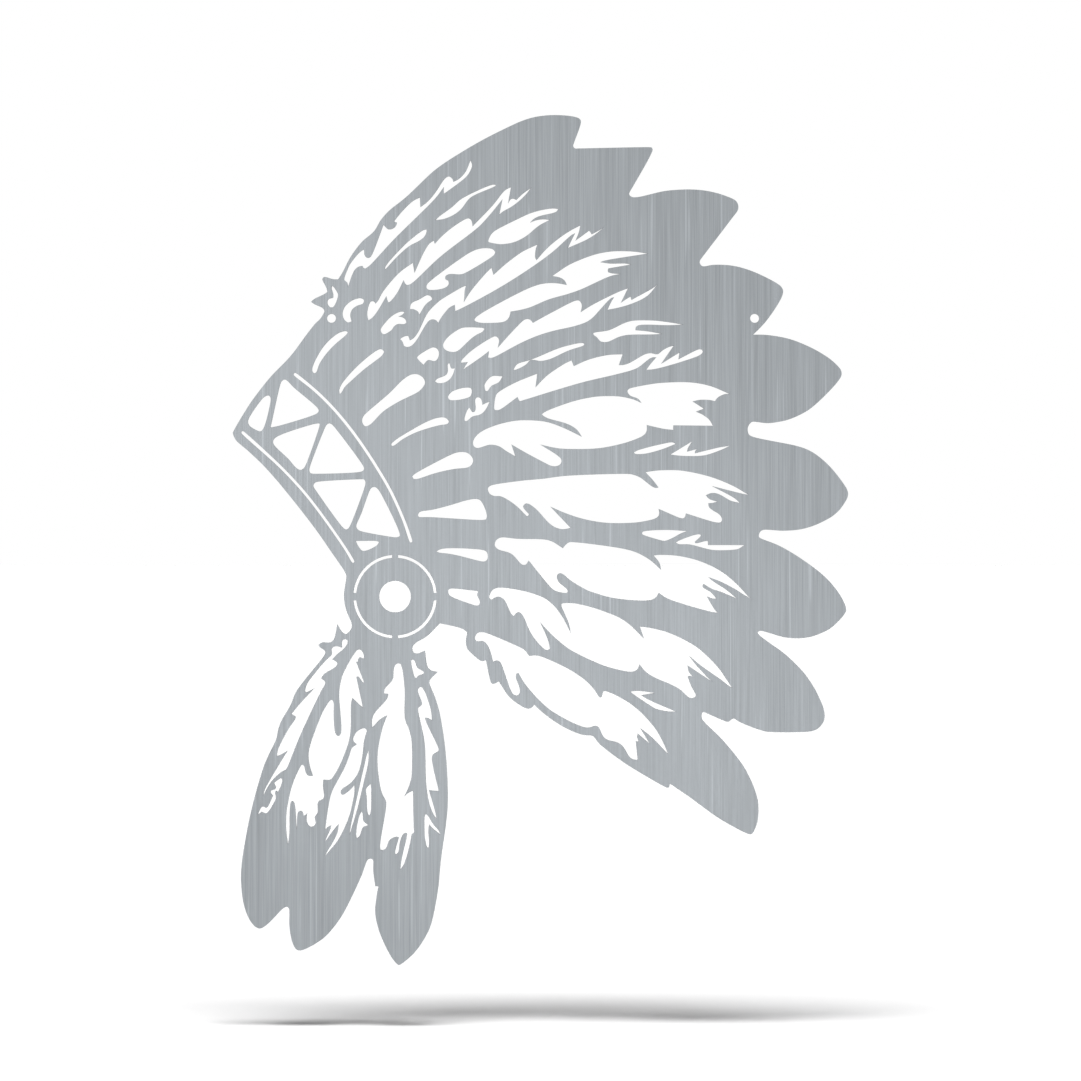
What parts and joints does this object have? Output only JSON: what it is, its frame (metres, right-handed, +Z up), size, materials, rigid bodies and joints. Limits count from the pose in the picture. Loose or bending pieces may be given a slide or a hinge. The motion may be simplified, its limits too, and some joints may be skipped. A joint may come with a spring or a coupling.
{
  "type": "cut-metal wall plaque of a feathered headdress",
  "caption": "Flat brushed-steel wall plaque cut as a feathered headdress in profile, with pierced feathers, a banded brow, a rosette and hanging drop feathers, hung on wall screws.",
  "frame": {"origin": "point on the wall plane midway between the two screw holes", "axes": "+Z up, +Y into the wall, so the plaque's face looks along -Y and the brow points along -X"},
  "size_m": [0.331, 0.0015, 0.4573],
  "materials": {
    "brushed_steel": "satin steel with a fine upright brushed grain"
  },
  "bodies": {
    "root": {"headdress_plate": "brushed_steel"}
  },
  "joints": []
}
